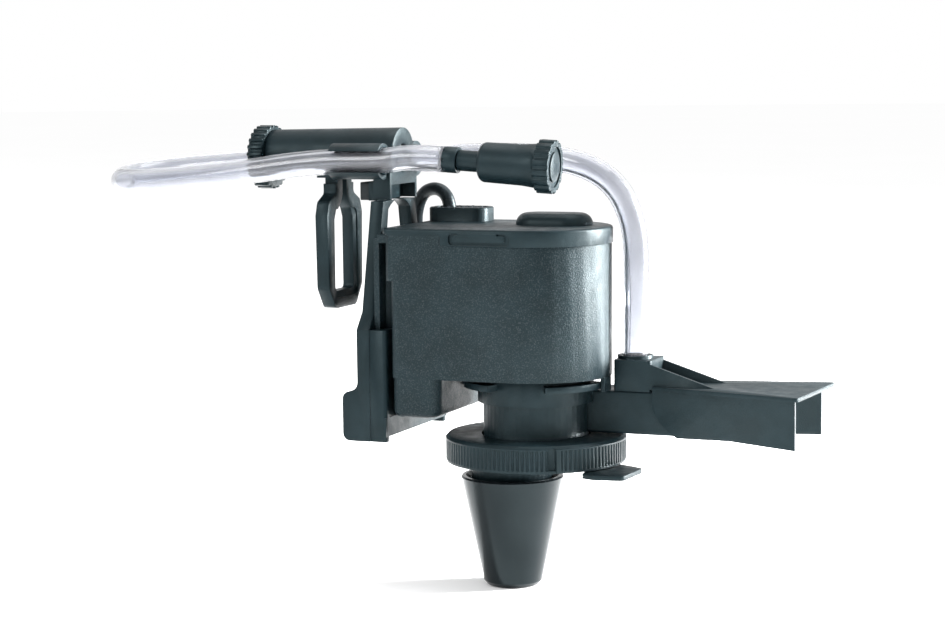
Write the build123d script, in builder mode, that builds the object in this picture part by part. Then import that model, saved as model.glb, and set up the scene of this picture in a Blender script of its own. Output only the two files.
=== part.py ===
"""Hang-on aquarium powerhead: a small submersible pump on a tank-rim clamp.

Frame, in millimetres: the origin is where the inner face of the tank wall meets
the underside of the clamp's barrel, on the middle plane.  +X points from the
wall into the tank, +Y away from the side that carries the air valve, +Z up.
"""
import os
from math import acos, cos, degrees, pi, radians, sin, tan

from build123d import *

os.makedirs("parts", exist_ok=True)

# ---- driving dimensions -------------------------------------------------
# clamp barrel and screw
TUBE_Z = 8.1
TUBE_R_SLIM = 7.75
TUBE_R_WIDE = 8.5
TUBE_START = -33.8
TUBE_END = 11.0
TUBE_BORE_R = 5.6
SCREW_Z = TUBE_Z - 1.0
SLOT_END = 5.0
SCREW_R = 3.0
SCREW_FIT = 0.06
KNOB_R = 10.15
KNOB_LENGTH = 4.9

# hanger frame
BACK_X = 5.3
BACK_THICK = 4.2
HEAD_BOTTOM = -5.6
HEAD_HALF = 10.3
CHANNEL_TOP = -44.9
CHANNEL_FLOOR = -72.0
HANGER_BOTTOM = -79.5
HANGER_HALF = 24.2
CHANNEL_FRONT = 14.8
FOOT_X = 0.2
FOOT_TOP = -64.1

# sliding jaw
JAW_FACE_X = -9.5
JAW_THICK = 4.2
JAW_HALF = 12.8
JAW_TOP = -3.4
JAW_BOTTOM = -40.4
JAW_NECK_HALF = 6.6
JAW_WINDOW_HALF = 6.7
STEM_HALF = 5.3

# pump
PUMP_X = 55.0
LID_Z = -13.4
HOUSING_R = 23.7
HOUSING_REAR = 38.6
BAND_REAR = 40.2
BAND_BOTTOM = LID_Z - 16.2
LID_REAR = 41.3
WALL = 2.2
LID_PLATE = 2.2
HOUSING_BOTTOM = LID_Z - 46.0
RAIL_BOTTOM = CHANNEL_FLOOR
RAIL_TOP = LID_Z - 3.6
WELL_R = 9.0
WELL_BORE_R = 7.6
WELL_TOP = LID_Z - 11.0
SHAFT_R = 1.25
SKIRT_REAR = 22.0
SKIRT_BOTTOM = LID_Z - 5.1
SKIRT_INNER = 22.9

# pump casing, ring and intake
DRUM_R = 18.0
NECK_R = 16.36
CHAMBER_R = 14.4
DRUM_BOTTOM = LID_Z - 54.2
RING_TOP = LID_Z - 64.4
RING_BOTTOM = LID_Z - 72.7
RING_R = 28.1
RING_RIBS = 120
SPIGOT_X = PUMP_X - 8.0
SPIGOT_R = 10.8
SPIGOT_END = LID_Z - 96.3
CONE_TOP = LID_Z - 78.0
CONE_BOTTOM = LID_Z - 112.4
CONE_TOP_R = 16.06
CONE_BOTTOM_R = 9.15

# outlet duct and deflector
DUCT_NEAR = 2.0
DUCT_FAR = 16.36
DUCT_TOP = LID_Z - 50.6
DUCT_BOTTOM = LID_Z - 63.8
DUCT_END = PUMP_X + 44.0
FAN_START = PUMP_X + 37.5
FAN_BEND = PUMP_X + 61.8
FAN_END = PUMP_X + 86.5
FAN_TOP = LID_Z - 48.6

# air hose and its clips
HOSE_R = 4.0
HOSE_Y = 12.6
HOSE_Z = 6.4
CLIP_START = -7.0
CLIP_END = 10.0
SOCKET_X = PUMP_X + 29.4
SOCKET_Y = (DUCT_NEAR + DUCT_FAR) / 2
SOCKET_TOP = LID_Z - 40.0

# mains cable, coil and plug
CABLE_R = 2.1
COIL_OUTER = 24.8
COIL_INNER = 16.4
COIL_X = PUMP_X - 28.0
COIL_Z = LID_Z - 27.0
COIL_NEAR = 27.0
COIL_FAR = 52.6
PLUG_X = 35.0
PLUG_Y = 60.6
PLUG_Z = LID_Z - 16.1


# ---- shapes used more than once -----------------------------------------
def d_outline(radius, rear, corner):
    """The pump's plan: a half round at the outlet end and a flat rear."""
    with BuildSketch() as shape:
        with Locations((PUMP_X, 0)):
            Circle(radius)
        with Locations((PUMP_X - rear / 2, 0)):
            Rectangle(rear, 2 * radius)
        fillet(shape.vertices().group_by(Axis.X)[0], corner)
    return shape.sketch


def scalloped_disc(radius, depth, count):
    """A round knob's outline with rounded grip flutes cut into it."""
    flute = pi * radius / count * 0.62
    with BuildSketch() as shape:
        Circle(radius)
        with PolarLocations(radius + flute - depth, count):
            Circle(flute, mode=Mode.SUBTRACT)
    return shape.sketch


def sector(radius, start, size, inner=0.0):
    """Part of a disc or ring, from angle start through size degrees."""
    with BuildSketch() as shape:
        with BuildLine():
            middle = start + size / 2
            first = (radius * cos(radians(start)), radius * sin(radians(start)))
            last_angle = radians(start + size)
            last = (radius * cos(last_angle), radius * sin(last_angle))
            top = (radius * cos(radians(middle)), radius * sin(radians(middle)))
            ThreePointArc(first, top, last)
            Line(last, (0, 0))
            Line((0, 0), first)
        make_face()
        if inner > 0:
            Circle(inner, mode=Mode.SUBTRACT)
    return shape.sketch


def round_radii(points, share=0.45):
    """The largest tangent arcs that a route's straight runs leave room for."""
    corners = [Vector(*p) for p in points]
    radii = []
    for before, here, after in zip(corners, corners[1:], corners[2:]):
        turn = (here - before).get_angle(after - here)
        shorter = min((here - before).length, (after - here).length)
        radii.append(share * shorter / tan(radians(turn) / 2))
    return radii


def route_length(points, radii):
    """Length of a route of straight runs joined by tangent arcs."""
    corners = [Vector(*p) for p in points]
    total = sum((b - a).length for a, b in zip(corners, corners[1:]))
    for before, here, after, radius in zip(corners, corners[1:], corners[2:], radii):
        turn = radians((here - before).get_angle(after - here))
        total += radius * turn - 2 * radius * tan(turn / 2)
    return total


def save(piece, label):
    """Names a finished piece and writes it as parts/label.step."""
    piece.part.label = label
    export_step(piece.part, f"parts/{label}.step")


# ---- hanger frame: barrel, head, legs, channel and foot -------------------
with BuildPart() as hanger_frame:
    # back plate: two legs that spread down to the channel's back
    with BuildSketch(Plane.YZ.offset(BACK_X)):
        with BuildLine():
            Polyline(
                (-12.2, HEAD_BOTTOM - 0.4),
                (-19.8, CHANNEL_TOP + 5.2),
                (-HANGER_HALF, CHANNEL_TOP),
                (-HANGER_HALF, HANGER_BOTTOM),
                (HANGER_HALF, HANGER_BOTTOM),
                (HANGER_HALF, CHANNEL_TOP),
                (19.8, CHANNEL_TOP + 5.2),
                (12.2, HEAD_BOTTOM - 0.4),
                close=True,
            )
        make_face()
        with BuildLine(mode=Mode.PRIVATE) as window:
            Line((-14.5, CHANNEL_TOP + 2), (-8.4, HEAD_BOTTOM - 3))
            ThreePointArc((-8.4, HEAD_BOTTOM - 3), (0, HEAD_BOTTOM), (8.4, HEAD_BOTTOM - 3))
            Line((8.4, HEAD_BOTTOM - 3), (14.5, CHANNEL_TOP + 2))
            Line((14.5, CHANNEL_TOP + 2), (-14.5, CHANNEL_TOP + 2))
        make_face(window.edges(), mode=Mode.SUBTRACT)
    extrude(amount=BACK_THICK)
    # head: a shallow trough between two side walls, under the barrel's end
    with BuildSketch(Plane.YZ.offset(BACK_X)):
        with Locations((0, (HEAD_BOTTOM + 3) / 2)):
            Rectangle(2 * HEAD_HALF, 3 - HEAD_BOTTOM)
    extrude(amount=TUBE_END - BACK_X)
    with BuildSketch(Plane.YZ.offset(BACK_X + 1.4)):
        with Locations((0, (HEAD_BOTTOM - 1.1) / 2)):
            Rectangle(18, -0.9 - HEAD_BOTTOM)
    extrude(amount=TUBE_END - BACK_X, mode=Mode.SUBTRACT)
    # seat of the fixed jaw
    with BuildSketch(Plane.YZ.offset(3.0)):
        with Locations((0, -3.1)):
            Rectangle(17.6, 5.8)
    extrude(amount=BACK_X - 3.0 + 0.5)
    # barrel, a little slimmer at the knob
    with BuildSketch(Plane.XZ):
        with BuildLine():
            Polyline(
                (TUBE_START, TUBE_Z),
                (TUBE_START, TUBE_Z + TUBE_R_SLIM),
                (TUBE_END, TUBE_Z + TUBE_R_WIDE),
                (TUBE_END, TUBE_Z),
                close=True,
            )
        make_face()
    revolve(axis=Axis((0, 0, TUBE_Z), (1, 0, 0)))
    # channel that holds the pump's rail: floor, side walls and front lips
    with BuildSketch(Plane.XY.offset(HANGER_BOTTOM + 1.6)):
        with Locations(((BACK_X + CHANNEL_FRONT) / 2, 0)):
            Rectangle(CHANNEL_FRONT - BACK_X, 2 * HANGER_HALF - 0.6)
    extrude(amount=CHANNEL_FLOOR - HANGER_BOTTOM - 1.6)
    with BuildSketch(Plane.XY.offset(HANGER_BOTTOM)):
        for side in (-1, 1):
            with Locations(((BACK_X + BACK_THICK + CHANNEL_FRONT) / 2, side * (HANGER_HALF - 1.8))):
                RectangleRounded(CHANNEL_FRONT - BACK_X - BACK_THICK, 3.0, 1.1)
            with Locations((BACK_X + BACK_THICK + 0.9, side * (HANGER_HALF - 1.8))):
                Rectangle(2.2, 3.0)
    extrude(amount=CHANNEL_TOP - HANGER_BOTTOM)
    with BuildSketch(Plane.XY.offset(CHANNEL_FLOOR)):
        for side in (-1, 1):
            with Locations((CHANNEL_FRONT - 1.5, side * 19.4)):
                Rectangle(2.6, 5.0)
    extrude(amount=CHANNEL_TOP - CHANNEL_FLOOR)
    # foot that rests against the tank wall
    with BuildSketch(Plane.XZ.offset(-HANGER_HALF)):
        with Locations(((FOOT_X + BACK_X + 1) / 2, (FOOT_TOP + HANGER_BOTTOM) / 2)):
            foot = Rectangle(BACK_X + 1 - FOOT_X, FOOT_TOP - HANGER_BOTTOM)
        fillet(foot.vertices().group_by(Axis.X)[0], 2.4)
        with BuildLine(mode=Mode.PRIVATE) as cove:
            RadiusArc((BACK_X, FOOT_TOP + 3), (BACK_X - 3, FOOT_TOP), 3)
            Polyline((BACK_X - 3, FOOT_TOP), (BACK_X + 1, FOOT_TOP - 1), (BACK_X, FOOT_TOP + 3))
        make_face(cove.edges())
    extrude(amount=2 * HANGER_HALF)
    # screw bore, nut cavity and the jaw's slot
    with BuildSketch(Plane.YZ.offset(TUBE_START - 1)):
        with Locations((0, SCREW_Z)):
            Circle(TUBE_BORE_R)
    extrude(amount=SLOT_END - TUBE_START + 1, mode=Mode.SUBTRACT)
    with BuildSketch(Plane.XY.offset(-1)):
        with Locations(((TUBE_START + 5 + SLOT_END - 0.6) / 2, 0)):
            Rectangle(SLOT_END - 0.6 - TUBE_START - 5, 2 * TUBE_BORE_R)
    extrude(amount=SCREW_Z + 1, mode=Mode.SUBTRACT)
    with BuildSketch(Plane.YZ.offset(0)):
        with Locations((0, SCREW_Z)):
            Circle(SCREW_R + SCREW_FIT)
    extrude(amount=TUBE_END + 1, mode=Mode.SUBTRACT)
    with BuildSketch(Plane.YZ.offset(TUBE_END - 2.6)):
        with Locations((0, SCREW_Z)):
            Circle(4.5)
    extrude(amount=3, mode=Mode.SUBTRACT)
    # hose clips on both sides of the barrel
    for side in (-1, 1):
        with BuildSketch(Plane.YZ.offset(CLIP_START)):
            with Locations((side * HOSE_Y, HOSE_Z)):
                Circle(HOSE_R + 1.6)
                Circle(HOSE_R + 0.35, mode=Mode.SUBTRACT)
            with Locations((side * (HOSE_Y + 4.6), HOSE_Z)):
                Rectangle(4.6, 6.6, mode=Mode.SUBTRACT)
            with Locations((side * (HOSE_Y - 5.6), HOSE_Z)):
                Rectangle(2.0, 6.0)
            with Locations((side * (HOSE_Y - 5.6), TUBE_Z)):
                Circle(0.1)
        extrude(amount=CLIP_END - CLIP_START)
save(hanger_frame, "hanger_frame")

with BuildPart() as clamp_pad:
    with BuildSketch(Plane.YZ):
        with Locations((0, -3.1)):
            RectangleRounded(17.0, 5.6, 0.6)
    extrude(amount=3.0)
    with BuildSketch(Plane.YZ):
        with GridLocations(0, 1.4, 1, 4):
            with Locations((0, -3.1)):
                Rectangle(14.0, 0.6)
    extrude(amount=0.7, mode=Mode.SUBTRACT)
save(clamp_pad, "clamp_pad")

with BuildPart() as screw_bush:
    with BuildSketch(Plane.YZ.offset(TUBE_START)):
        with Locations((0, SCREW_Z)):
            Circle(TUBE_BORE_R - 0.02)
            Circle(SCREW_R + SCREW_FIT, mode=Mode.SUBTRACT)
    extrude(amount=4.0)
save(screw_bush, "screw_bush")

# ---- clamp screw and its knob ---------------------------------------------
SCREW_START = TUBE_START - KNOB_LENGTH
with BuildPart() as clamp_screw:
    with BuildSketch(Plane.YZ.offset(SCREW_START)):
        with Locations((0, SCREW_Z)):
            Circle(SCREW_R)
    extrude(amount=TUBE_END - 0.4 - SCREW_START)
    # groove for the clip at the tip
    with BuildSketch(Plane.YZ.offset(TUBE_END - 1.7)):
        with Locations((0, SCREW_Z)):
            Circle(SCREW_R + 1)
            Circle(2.3, mode=Mode.SUBTRACT)
    extrude(amount=0.7, mode=Mode.SUBTRACT)
save(clamp_screw, "clamp_screw")

with BuildPart() as screw_clip:
    with BuildSketch(Plane.YZ.offset(TUBE_END - 1.7)):
        with Locations((0, SCREW_Z)):
            Circle(4.1)
            Circle(2.3, mode=Mode.SUBTRACT)
            with Locations((0, -3)):
                Rectangle(2.4, 4, mode=Mode.SUBTRACT)
    extrude(amount=0.6)
save(screw_clip, "screw_clip")

with BuildPart() as clamp_knob:
    with BuildSketch(Plane.YZ.offset(TUBE_START - 0.3 - KNOB_LENGTH)):
        with Locations((0, SCREW_Z)):
            add(scalloped_disc(KNOB_R, 0.7, 26))
    extrude(amount=KNOB_LENGTH)
    # dished outer face with a raised middle
    with BuildSketch(Plane.YZ.offset(TUBE_START - 0.3 - KNOB_LENGTH)):
        with Locations((0, SCREW_Z)):
            Circle(7.6)
            Circle(4.4, mode=Mode.SUBTRACT)
    extrude(amount=1.2, mode=Mode.SUBTRACT)
    with BuildSketch(Plane.YZ.offset(TUBE_START - KNOB_LENGTH)):
        with Locations((0, SCREW_Z)):
            Circle(SCREW_R)
    extrude(amount=KNOB_LENGTH + 1, mode=Mode.SUBTRACT)
save(clamp_knob, "clamp_knob")

# ---- sliding jaw and its nut ------------------------------------------------
JAW_BACK_X = JAW_FACE_X - JAW_THICK
STEM_X = (JAW_BACK_X + JAW_FACE_X) / 2
CARRIER_LENGTH = 10.0
with BuildPart() as clamp_jaw:
    # link: rounded shoulders under a neck, straight bars and a cut-away foot
    with BuildSketch(Plane.YZ.offset(JAW_BACK_X)) as link:
        with BuildLine():
            Polyline(
                (0, JAW_TOP + 2.4),
                (JAW_NECK_HALF, JAW_TOP + 2.4),
                (JAW_NECK_HALF, JAW_TOP - 0.8),
                (JAW_HALF - 1.4, JAW_TOP - 3.2),
                (JAW_HALF, JAW_TOP - 7.4),
                (JAW_HALF - 0.6, JAW_BOTTOM + 6.6),
                (JAW_HALF - 5.2, JAW_BOTTOM),
                (0, JAW_BOTTOM),
                close=True,
            )
        make_face()
        mirror(about=Plane.YZ)
        fillet(link.vertices().filter_by_position(Axis.Y, JAW_BOTTOM - 1, JAW_BOTTOM + 1), 2.6)
        fillet(link.vertices().filter_by_position(Axis.Y, JAW_BOTTOM + 6, JAW_BOTTOM + 7), 3.0)
        fillet(link.vertices().filter_by_position(Axis.Y, JAW_TOP - 3.5, JAW_TOP - 3), 1.8)
        fillet(link.vertices().filter_by_position(Axis.Y, JAW_TOP - 1, JAW_TOP - 0.6), 1.6)
    extrude(amount=JAW_THICK)
    # shallow step around the window on the gripping side
    with BuildSketch(Plane.YZ.offset(JAW_FACE_X - 0.5)):
        with Locations((0, (JAW_TOP + JAW_BOTTOM) / 2 - 1.2)):
            RectangleRounded(2 * JAW_WINDOW_HALF + 5.2, JAW_TOP - JAW_BOTTOM - 8.8, 3.0)
    extrude(amount=1, mode=Mode.SUBTRACT)
    # stem up to the nut carrier
    with BuildSketch(Plane.XY.offset(JAW_TOP - 1)):
        with Locations((STEM_X, 0)):
            Rectangle(JAW_THICK, 2 * STEM_HALF)
    extrude(amount=SCREW_Z - JAW_TOP + 1)
    with BuildSketch(Plane.YZ.offset(STEM_X - CARRIER_LENGTH / 2)):
        with Locations((0, SCREW_Z)):
            Circle(TUBE_BORE_R - 0.3)
        with Locations((0, SCREW_Z / 2 + 0.4)):
            Rectangle(2 * STEM_HALF, SCREW_Z - 0.8)
    extrude(amount=CARRIER_LENGTH)
    # the slot: narrow between two prongs, then flaring into the long window
    with BuildSketch(Plane.YZ.offset(JAW_BACK_X - 4)) as slot:
        with BuildLine():
            Polyline(
                (0, 0.6),
                (1.5, 0.6),
                (1.5, JAW_TOP - 1.0),
                (2.6, JAW_TOP - 3.2),
                (5.4, JAW_TOP - 6.0),
                (JAW_WINDOW_HALF, JAW_TOP - 8.8),
                (JAW_WINDOW_HALF, JAW_BOTTOM + 5.4),
                (0, JAW_BOTTOM + 5.4),
                close=True,
            )
        make_face()
        mirror(about=Plane.YZ)
        fillet(slot.vertices().filter_by_position(Axis.Y, JAW_BOTTOM + 5, JAW_BOTTOM + 6), 1.4)
        fillet(slot.vertices().filter_by_position(Axis.Y, JAW_TOP - 6.2, JAW_TOP - 5.8), 2.0)
    extrude(amount=JAW_THICK + 8, mode=Mode.SUBTRACT)
    with BuildSketch(Plane.YZ.offset(STEM_X - CARRIER_LENGTH / 2 - 1)):
        with Locations((0, SCREW_Z)):
            Circle(4.2)
    extrude(amount=CARRIER_LENGTH + 2, mode=Mode.SUBTRACT)
save(clamp_jaw, "clamp_jaw")

with BuildPart() as jaw_nut:
    with BuildSketch(Plane.YZ.offset(STEM_X - 4)):
        with Locations((0, SCREW_Z)):
            Circle(4.18)
            Circle(SCREW_R + SCREW_FIT, mode=Mode.SUBTRACT)
    extrude(amount=8)
save(jaw_nut, "jaw_nut")

# ---- motor housing ------------------------------------------------------------
CHAMBER_FLOOR = HOUSING_BOTTOM + WALL
BOX_FRONT = PUMP_X - 23.6
BOX_REAR = PUMP_X - HOUSING_REAR
BOX_BOTTOM = LID_Z - 58.3
with BuildPart() as motor_housing:
    with BuildSketch(Plane.XY.offset(HOUSING_BOTTOM)):
        add(d_outline(HOUSING_R, HOUSING_REAR, 2.0))
    extrude(amount=LID_Z - LID_PLATE - HOUSING_BOTTOM)
    # the upper band stands back further than the rest
    with BuildSketch(Plane.XY.offset(BAND_BOTTOM)):
        add(d_outline(HOUSING_R, BAND_REAR, 1.8))
    extrude(amount=LID_Z - LID_PLATE - BAND_BOTTOM)
    # terminal box under the rear of the chamber
    with BuildSketch(Plane.XY.offset(BOX_BOTTOM)) as box_plan:
        with Locations(((BOX_FRONT + BOX_REAR) / 2, 0)):
            Rectangle(BOX_FRONT - BOX_REAR, 2 * HOUSING_R)
        fillet(box_plan.vertices().group_by(Axis.X)[-1], 5.0)
        fillet(box_plan.vertices().group_by(Axis.X)[0], 3.2)
    extrude(amount=HOUSING_BOTTOM - BOX_BOTTOM + 1)
    fillet(motor_housing.faces().sort_by(Axis.Z)[0].edges(), 2.6)
    # rail: a neck and a wide flange down the rear face
    with BuildSketch(Plane.XY.offset(RAIL_BOTTOM + 0.3)):
        with Locations((BOX_REAR - 2.4, 0)):
            Rectangle(5.6, 32.0)
        with Locations((BACK_X + BACK_THICK + 1.25, 0)):
            Rectangle(1.8, 41.4)
    extrude(amount=RAIL_TOP - RAIL_BOTTOM - 0.3)
    with BuildSketch(Plane.XY.offset(RAIL_TOP - 1.2)):
        with Locations(((BOX_REAR + BACK_X + BACK_THICK + 1.5) / 2, 0)):
            Rectangle(BOX_REAR - BACK_X - BACK_THICK - 1.5, 41.4)
    extrude(amount=LID_Z - LID_PLATE - 0.05 - RAIL_TOP + 1.2)
    # chamber, open at the top
    with BuildSketch(Plane.XY.offset(CHAMBER_FLOOR)):
        add(d_outline(HOUSING_R - WALL, HOUSING_REAR - WALL, 1.2))
    extrude(amount=60, mode=Mode.SUBTRACT)
    with BuildSketch(Plane.XY.offset(BOX_BOTTOM + WALL)):
        with Locations(((BOX_FRONT + BOX_REAR) / 2, 0)):
            RectangleRounded(BOX_FRONT - BOX_REAR - 2 * WALL, 2 * HOUSING_R - 2 * WALL, 1.5)
    extrude(amount=20, mode=Mode.SUBTRACT)
    # step under the lid's skirt
    with BuildSketch(Plane.XY.offset(SKIRT_BOTTOM - 0.05)):
        add(d_outline(HOUSING_R + 1, SKIRT_REAR + 0.1, 0.3))
        add(d_outline(SKIRT_INNER - 0.05, SKIRT_REAR + 5, 0.3), mode=Mode.SUBTRACT)
    extrude(amount=20, mode=Mode.SUBTRACT)
    # rotor well: a cup that stands in the chamber and opens downwards
    with BuildSketch(Plane.XY.offset(HOUSING_BOTTOM)):
        with Locations((PUMP_X, 0)):
            Circle(WELL_R)
    extrude(amount=WELL_TOP - HOUSING_BOTTOM)
    with BuildSketch(Plane.XY.offset(HOUSING_BOTTOM - 1)):
        with Locations((PUMP_X, 0)):
            Circle(WELL_BORE_R)
    extrude(amount=WELL_TOP - 1.6 - HOUSING_BOTTOM + 1, mode=Mode.SUBTRACT)
    # two hooks that hold the casing's bayonet lugs
    with BuildSketch(Plane.XY.offset(HOUSING_BOTTOM - 4.2)):
        with Locations((PUMP_X, 0)):
            add(sector(24.1, -10, 14, 22.9))
            add(sector(24.1, 170, 14, 22.9))
    extrude(amount=4.5)
save(motor_housing, "motor_housing")

# ---- lid with its skirt, latches, cable collar and dome --------------------------
COLLAR = (PUMP_X - 31.0, 16.2)
CABLE_EXIT = (PUMP_X - 35.0, 16.2)
DOME = (PUMP_X + 4.6, 5.0)
LATCH_X = PUMP_X - 9.0
LID_R = HOUSING_R + 0.4
with BuildPart() as lid:
    with BuildSketch(Plane.XY.offset(LID_Z - LID_PLATE)):
        add(d_outline(LID_R, LID_REAR, 2.4))
    extrude(amount=LID_PLATE)
    fillet(lid.faces().sort_by(Axis.Z)[-1].edges(), 0.9)
    # the rear lip is thinner than the rest of the lid
    with BuildSketch(Plane.XY.offset(LID_Z - LID_PLATE - 1)):
        add(d_outline(LID_R, LID_REAR, 2.4))
        add(d_outline(HOUSING_R, BAND_REAR, 1.2), mode=Mode.SUBTRACT)
        with Locations((PUMP_X - SKIRT_REAR + 60, 0)):
            Rectangle(120, 60, mode=Mode.SUBTRACT)
    extrude(amount=1.5, mode=Mode.SUBTRACT)
    # skirt around the outlet end
    with BuildSketch(Plane.XY.offset(SKIRT_BOTTOM)):
        add(d_outline(LID_R, SKIRT_REAR, 0.5))
        add(d_outline(SKIRT_INNER, SKIRT_REAR + 5, 0.3), mode=Mode.SUBTRACT)
    extrude(amount=LID_Z - LID_PLATE - SKIRT_BOTTOM + 0.1)
    # a latch on each side: a rounded recess, the tongue in it and its grip bar
    for side in (-1, 1):
        with BuildSketch(Plane.XZ.offset(side * (LID_R + 1))):
            with Locations((LATCH_X, LID_Z - 3.0)):
                RectangleRounded(19.8, 3.6, 1.3)
        extrude(amount=-side * 1.8, mode=Mode.SUBTRACT)
        with BuildSketch(Plane.XZ.offset(side * (LID_R - 0.4))):
            with Locations((LATCH_X - 0.2, LID_Z - 2.8)):
                RectangleRounded(17.0, 2.1, 0.9)
        extrude(amount=-side * 0.6)
        with BuildSketch(Plane.XZ.offset(side * (LID_R + 0.05))):
            with Locations((LATCH_X - 0.6, LID_Z - 1.6)):
                RectangleRounded(12.8, 1.1, 0.5)
        extrude(amount=-side * 1.0)
    # locating rim inside the chamber
    with BuildSketch(Plane.XY.offset(LID_Z - LID_PLATE - 2)):
        add(d_outline(HOUSING_R - WALL - 0.1, HOUSING_REAR - WALL - 0.1, 1.2))
        add(d_outline(HOUSING_R - WALL - 1.3, HOUSING_REAR - WALL - 1.3, 1.0), mode=Mode.SUBTRACT)
    extrude(amount=2.0)
    # dome, and the raised collar around the cable
    with BuildSketch(Plane.XY.offset(LID_Z - 0.2)):
        with Locations(DOME):
            SlotOverall(24.4, 15.6)
    extrude(amount=3.9)
    fillet(lid.faces().sort_by(Axis.Z)[-1].edges(), 3.5)
    with BuildSketch(Plane.XY.offset(LID_Z - 0.2)):
        with Locations(COLLAR):
            RectangleRounded(20.0, 12.0, 4.2)
    extrude(amount=4.6)
    fillet(lid.faces().sort_by(Axis.Z)[-1].edges(), 0.6)
    with BuildSketch(Plane.XY.offset(LID_Z + 2.0)):
        with Locations(COLLAR):
            RectangleRounded(17.0, 9.0, 3.0)
    extrude(amount=4, mode=Mode.SUBTRACT)
    with BuildSketch(Plane.XY.offset(LID_Z - LID_PLATE - 3)):
        with Locations(CABLE_EXIT):
            Circle(CABLE_R + 0.02)
    extrude(amount=12, mode=Mode.SUBTRACT)
save(lid, "lid")

with BuildPart() as cable_potting:
    with BuildSketch(Plane.XY.offset(LID_Z + 2.0)):
        with Locations(COLLAR):
            RectangleRounded(16.96, 8.96, 3.0)
        with Locations(CABLE_EXIT):
            Circle(CABLE_R + 0.02, mode=Mode.SUBTRACT)
    extrude(amount=2.0)
save(cable_potting, "cable_potting")

# ---- inside the motor chamber -----------------------------------------------------
CORE_BOTTOM = LID_Z - 36.0
CORE_HEIGHT = 18.0
YOKE_X = PUMP_X - 25.0
with BuildPart() as stator_core:
    with BuildSketch(Plane.XY.offset(CORE_BOTTOM)):
        with Locations(((YOKE_X - 5 + PUMP_X) / 2, 0)):
            Rectangle(PUMP_X - YOKE_X + 5, 36.0)
        with Locations((PUMP_X, 0)):
            Circle(18.0)
        with Locations((PUMP_X, 0)):
            Circle(WELL_R + 0.3, mode=Mode.SUBTRACT)
        with Locations(((YOKE_X + 5 + PUMP_X - 8) / 2, 0)):
            Rectangle(PUMP_X - 8 - YOKE_X - 5, 22.0, mode=Mode.SUBTRACT)
        with Locations((PUMP_X + 8, 0)):
            Rectangle(30, 5.0, mode=Mode.SUBTRACT)
        with Locations((PUMP_X - 8, 0)):
            Rectangle(8, 5.0, mode=Mode.SUBTRACT)
    extrude(amount=CORE_HEIGHT)
save(stator_core, "stator_core")

with BuildPart() as coil_bobbin:
    with BuildSketch(Plane.XZ.offset(-10.4)):
        with Locations((YOKE_X, CORE_BOTTOM + CORE_HEIGHT / 2)):
            RectangleRounded(13.0, CORE_HEIGHT + 3.0, 0.6)
    extrude(amount=20.8)
    for side in (-1, 1):
        with BuildSketch(Plane.XZ.offset(side * 10.4)):
            with Locations((YOKE_X, CORE_BOTTOM + CORE_HEIGHT / 2)):
                RectangleRounded(19.0, CORE_HEIGHT + 9.0, 1.0)
        extrude(amount=-side * 1.0)
    with BuildSketch(Plane.XZ.offset(-12)):
        with Locations((YOKE_X, CORE_BOTTOM + CORE_HEIGHT / 2)):
            Rectangle(10.2, CORE_HEIGHT + 0.2)
    extrude(amount=24, mode=Mode.SUBTRACT)
save(coil_bobbin, "coil_bobbin")

with BuildPart() as coil_winding:
    with BuildSketch(Plane.XZ.offset(-9.2)):
        with Locations((YOKE_X, CORE_BOTTOM + CORE_HEIGHT / 2)):
            RectangleRounded(18.0, CORE_HEIGHT + 8.0, 2.0)
            RectangleRounded(13.1, CORE_HEIGHT + 3.1, 0.6, mode=Mode.SUBTRACT)
    extrude(amount=18.4)
save(coil_winding, "coil_winding")

with BuildPart() as motor_potting:
    # resin layer that seals the chamber under the lid
    with BuildSketch(Plane.XY.offset(LID_Z - 9.4)):
        add(d_outline(HOUSING_R - WALL - 0.1, HOUSING_REAR - WALL - 0.1, 1.2))
    extrude(amount=3.6)
save(motor_potting, "motor_potting")

# ---- rotor, shaft and bushes ---------------------------------------------------------
SHAFT_TOP = WELL_TOP - 2.0
SHAFT_BOTTOM = LID_Z - 66.5
with BuildPart() as rotor_shaft:
    with BuildSketch(Plane.XY.offset(SHAFT_BOTTOM)):
        with Locations((PUMP_X, 0)):
            Circle(SHAFT_R)
    extrude(amount=SHAFT_TOP - SHAFT_BOTTOM)
save(rotor_shaft, "rotor_shaft")

with BuildPart() as upper_bush:
    with BuildSketch(Plane.XY.offset(WELL_TOP - 5.6)):
        with Locations((PUMP_X, 0)):
            Circle(4.0)
            Circle(SHAFT_R, mode=Mode.SUBTRACT)
    extrude(amount=4.0)
save(upper_bush, "upper_bush")

MAGNET_TOP = LID_Z - 17.0
MAGNET_BOTTOM = LID_Z - 42.0
IMPELLER_BOTTOM = LID_Z - 60.0
with BuildPart() as rotor_magnet:
    with BuildSketch(Plane.XY.offset(MAGNET_BOTTOM)):
        with Locations((PUMP_X, 0)):
            Circle(7.0)
            Circle(3.0, mode=Mode.SUBTRACT)
    extrude(amount=MAGNET_TOP - MAGNET_BOTTOM)
save(rotor_magnet, "rotor_magnet")

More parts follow.
